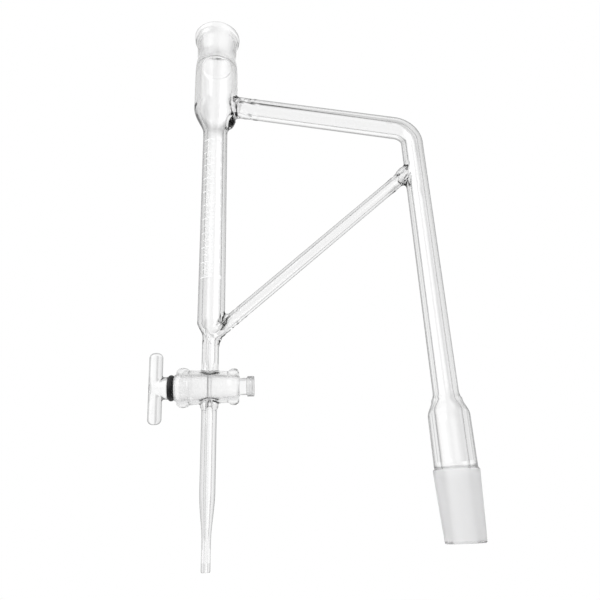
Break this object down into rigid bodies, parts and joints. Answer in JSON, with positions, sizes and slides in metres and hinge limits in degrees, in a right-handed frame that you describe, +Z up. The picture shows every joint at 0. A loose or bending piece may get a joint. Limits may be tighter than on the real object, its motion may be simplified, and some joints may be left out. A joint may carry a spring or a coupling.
{
  "type": "clevenger apparatus",
  "caption": "Glass essential oil trap with a graduated measuring column, condenser socket, vapour leg with flask cone, slanting return tube and T-handled stopcock over a jet.",
  "frame": {"origin": "centre of the wide end of the ground flask cone, on the vapour leg's axis", "axes": "+Z up along the vapour leg, +X from the measuring column towards the vapour leg, Y across the flat layout"},
  "size_m": [0.1773, 0.0324, 0.3565],
  "materials": {
    "borosilicate_glass": "clear, with ground joints",
    "key_glass": "clear, with a ground plug",
    "black_rubber": "satin"
  },
  "bodies": {
    "glass": {"glass_body": "borosilicate_glass"},
    "key": {"stopcock_key": "key_glass", "rubber_ring": "black_rubber"}
  },
  "joints": [
    {"name": "key_turn", "type": "hinge", "parent": "glass", "child": "key", "pos_m": [-0.1304, 0, 0.0509], "axis": [0.9925, 0.1219, 0], "continuous": true}
  ]
}
